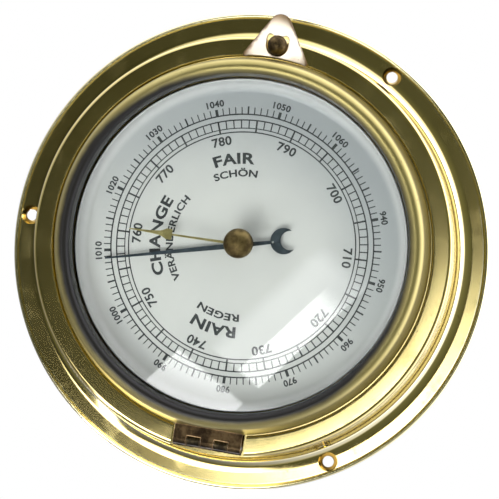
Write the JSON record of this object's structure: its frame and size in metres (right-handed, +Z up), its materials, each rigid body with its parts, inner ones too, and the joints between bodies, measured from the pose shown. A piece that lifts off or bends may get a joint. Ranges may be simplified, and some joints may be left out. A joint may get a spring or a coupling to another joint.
{
  "type": "aneroid barometer",
  "caption": "Round brass aneroid barometer with a screw-down flange, hinged glazed bezel, set hand and weather dial over a capsule movement.",
  "frame": {"origin": "centre of the round back face that lies against the wall", "axes": "+Z up as it hangs, the dial faces -Y, +X to the right as seen from the front"},
  "size_m": [0.18, 0.05, 0.18],
  "materials": {
    "polished_brass": "polished, lightly tarnished",
    "tarnished_brass": "dark brown tarnish",
    "movement_brass": "satin lacquered",
    "hand_brass": "polished",
    "clear_glass": "clear, slightly domed",
    "black_rubber": "matt",
    "dial_enamel": "satin pale grey with dark grey print",
    "blued_steel": "blued",
    "steel": "ground",
    "nickel_silver": "bright"
  },
  "bodies": {
    "case": {"case_shell": "polished_brass", "rear_cover": "polished_brass", "rear_cover_screw_1": "polished_brass", "rear_cover_screw_2": "polished_brass", "rear_cover_screw_3": "polished_brass", "latch_stud": "tarnished_brass", "hinge_fixed_leaf": "tarnished_brass", "hinge_pin": "steel", "dial": "dial_enamel", "dial_foot_1": "movement_brass", "dial_foot_2": "movement_brass", "dial_foot_3": "movement_brass", "movement_plate": "movement_brass", "movement_screw_1": "steel", "movement_screw_2": "steel", "movement_screw_3": "steel", "aneroid_capsule": "nickel_silver", "spring_support": "movement_brass", "lower_bridge": "movement_brass", "top_bridge": "movement_brass", "lower_pillar_1": "movement_brass", "lower_pillar_2": "movement_brass", "upper_pillar_1": "movement_brass", "upper_pillar_2": "movement_brass", "rocker_bracket_1": "movement_brass", "rocker_bracket_2": "movement_brass", "hairspring": "blued_steel", "hairspring_stud": "movement_brass"},
    "bezel": {"bezel_ring": "polished_brass", "glass": "clear_glass", "glass_gasket": "black_rubber", "glass_retaining_ring": "tarnished_brass", "hinge_moving_leaf": "tarnished_brass", "thumb_tab": "polished_brass", "glass_bush": "polished_brass", "bush_nut": "polished_brass"},
    "set_hand_group": {"set_knob": "tarnished_brass", "set_shaft": "hand_brass", "set_hand": "hand_brass"},
    "pointer_group": {"centre_arbor": "steel", "chain_roller": "steel", "hairspring_collet": "movement_brass", "pointer_collet": "blued_steel", "pointer": "blued_steel"},
    "main_spring_group": {"main_spring": "steel", "main_lever": "movement_brass"},
    "capsule_post": {"capsule_post": "steel"},
    "connecting_link": {"connecting_link": "steel"},
    "rocking_shaft_group": {"rocking_shaft": "steel", "chain_arm": "movement_brass"},
    "chain": {"chain": "steel"},
    "adjusting_screw": {"adjusting_screw": "steel"}
  },
  "joints": [
    {"name": "bezel_hinge", "type": "hinge", "parent": "case", "child": "bezel", "pos_m": [-0.0723, -0.0375, 0], "axis": [0, 0, -1], "range_deg": [0, 115]},
    {"name": "set_hand_turn", "type": "hinge", "parent": "bezel", "child": "set_hand_group", "pos_m": [0, -0.045, 0], "axis": [0, 1, 0], "continuous": true},
    {"name": "pointer_turn", "type": "hinge", "parent": "case", "child": "pointer_group", "pos_m": [0, -0.036, 0], "axis": [0, 1, 0], "range_deg": [-185.5, 138.5]},
    {"name": "rocking_shaft_turn", "type": "hinge", "parent": "case", "child": "rocking_shaft_group", "pos_m": [0.032, -0.02, 0], "axis": [0, 0, -1], "range_deg": [-14.6, 10.9]},
    {"name": "main_spring_flex", "type": "hinge", "parent": "case", "child": "main_spring_group", "pos_m": [-0.034, -0.0165, 0], "axis": [0, 0, 1], "range_deg": [-1, 0.75]},
    {"name": "capsule_post_slide", "type": "slide", "parent": "case", "child": "capsule_post", "axis": [0, 1, 0], "range_m": [-0.0006, 0.0005]},
    {"name": "connecting_link_slide", "type": "slide", "parent": "case", "child": "connecting_link", "axis": [0, 1, 0], "range_m": [-0.0011, 0.0008]},
    {"name": "chain_slide", "type": "slide", "parent": "case", "child": "chain", "axis": [-1, 0, 0], "range_m": [-0.0023, 0.0018]},
    {"name": "adjusting_screw_turn", "type": "hinge", "parent": "case", "child": "adjusting_screw", "pos_m": [-0.036, -0.003, 0], "axis": [0, 1, 0], "continuous": true}
  ],
  "couplings": [
    {"joint": "rocking_shaft_turn", "follows": "pointer_turn", "ratio": 0.07778},
    {"joint": "main_spring_flex", "follows": "pointer_turn", "ratio": 0.005018},
    {"joint": "capsule_post_slide", "follows": "pointer_turn", "m_per_rad": 0.0001706},
    {"joint": "connecting_link_slide", "follows": "pointer_turn", "m_per_rad": 0.0003111},
    {"joint": "chain_slide", "follows": "pointer_turn", "m_per_rad": 0.0007}
  ]
}
